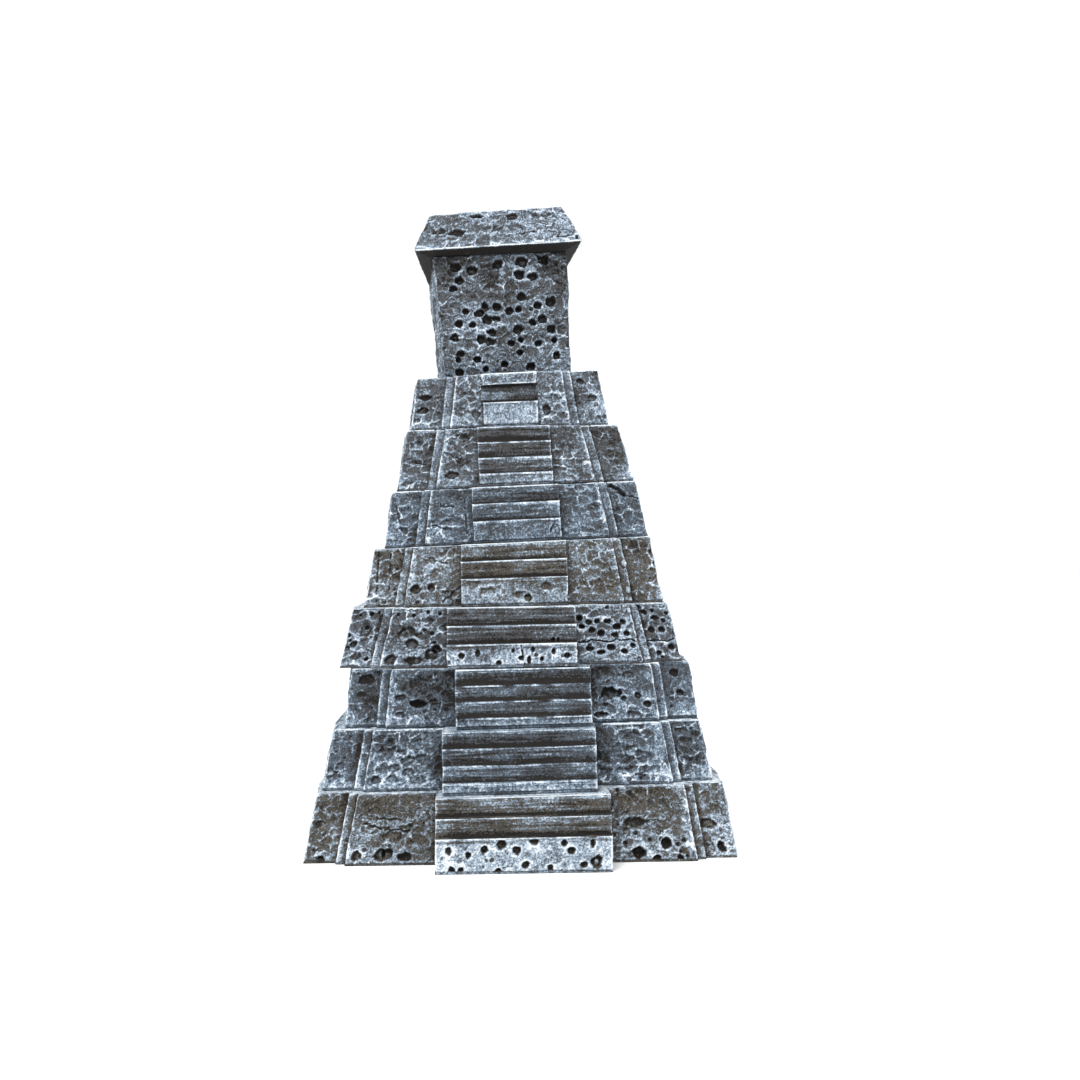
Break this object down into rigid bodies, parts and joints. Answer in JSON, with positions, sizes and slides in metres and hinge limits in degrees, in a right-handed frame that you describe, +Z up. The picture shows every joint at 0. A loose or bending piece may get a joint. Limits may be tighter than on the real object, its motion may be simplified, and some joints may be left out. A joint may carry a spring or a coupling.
{
  "type": "miniature terrain pyramid",
  "caption": "Tabletop stepped pyramid ruin of eight loose cast tiers with one front stair, a shrine block and a roof slab.",
  "frame": {"origin": "middle of the bottom tier's underside, on the table", "axes": "+Z up through the stack, -Y out of the front stair, +X to the right seen from the front; the stack leans a little to -X"},
  "size_m": [0.1018, 0.1134, 0.16],
  "materials": {
    "warm_cast_stone": "matt, dry-brushed",
    "blue_cast_stone": "matt, dry-brushed",
    "grey_cast_stone": "matt, dry-brushed"
  },
  "bodies": {
    "tier_1": {"tier_1": "warm_cast_stone"},
    "tier_2": {"tier_2": "blue_cast_stone"},
    "tier_3": {"tier_3": "blue_cast_stone"},
    "tier_4": {"tier_4": "grey_cast_stone"},
    "tier_5": {"tier_5": "warm_cast_stone"},
    "tier_6": {"tier_6": "blue_cast_stone"},
    "tier_7": {"tier_7": "grey_cast_stone"},
    "tier_8": {"tier_8": "grey_cast_stone"},
    "shrine_block": {"shrine_block": "grey_cast_stone"},
    "roof_slab": {"roof_slab": "grey_cast_stone"}
  },
  "joints": [
    {"name": "lift_tier_2", "type": "slide", "parent": "tier_1", "child": "tier_2", "axis": [0, 0, 1], "range_m": [0, 0.025]},
    {"name": "lift_tier_3", "type": "slide", "parent": "tier_2", "child": "tier_3", "axis": [0, 0, 1], "range_m": [0, 0.025]},
    {"name": "lift_tier_4", "type": "slide", "parent": "tier_3", "child": "tier_4", "axis": [0, 0, 1], "range_m": [0, 0.025]},
    {"name": "lift_tier_5", "type": "slide", "parent": "tier_4", "child": "tier_5", "axis": [0, 0, 1], "range_m": [0, 0.025]},
    {"name": "lift_tier_6", "type": "slide", "parent": "tier_5", "child": "tier_6", "axis": [0, 0, 1], "range_m": [0, 0.025]},
    {"name": "lift_tier_7", "type": "slide", "parent": "tier_6", "child": "tier_7", "axis": [0, 0, 1], "range_m": [0, 0.025]},
    {"name": "lift_tier_8", "type": "slide", "parent": "tier_7", "child": "tier_8", "axis": [0, 0, 1], "range_m": [0, 0.025]},
    {"name": "lift_shrine_block", "type": "slide", "parent": "tier_8", "child": "shrine_block", "axis": [0, 0, 1], "range_m": [0, 0.025]},
    {"name": "lift_roof_slab", "type": "slide", "parent": "shrine_block", "child": "roof_slab", "axis": [0, 0, 1], "range_m": [0, 0.025]}
  ]
}
